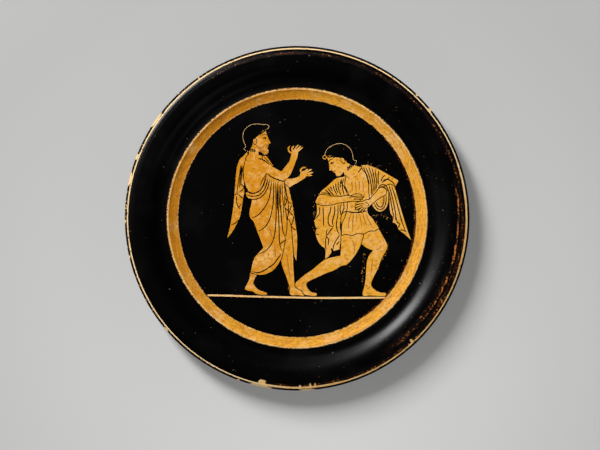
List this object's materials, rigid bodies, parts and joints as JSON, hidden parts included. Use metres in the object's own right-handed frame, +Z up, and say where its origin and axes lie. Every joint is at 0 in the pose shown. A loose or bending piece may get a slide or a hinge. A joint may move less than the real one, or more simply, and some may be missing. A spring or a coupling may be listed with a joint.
{
  "type": "terracotta plate",
  "caption": "Shallow round fired-clay plate on a ring foot, with a flat painted floor, a moulded ring and a broad sloping black rim.",
  "frame": {"origin": "middle of the ring foot, on the plane that the plate rests on", "axes": "+Z up, along the axis that the plate was turned on; +Y towards the top of the picture on the floor; +X to the picture's right"},
  "size_m": [0.19, 0.19, 0.018],
  "materials": {
    "slipped_clay": "satin"
  },
  "bodies": {
    "root": {"plate": "slipped_clay"}
  },
  "joints": []
}
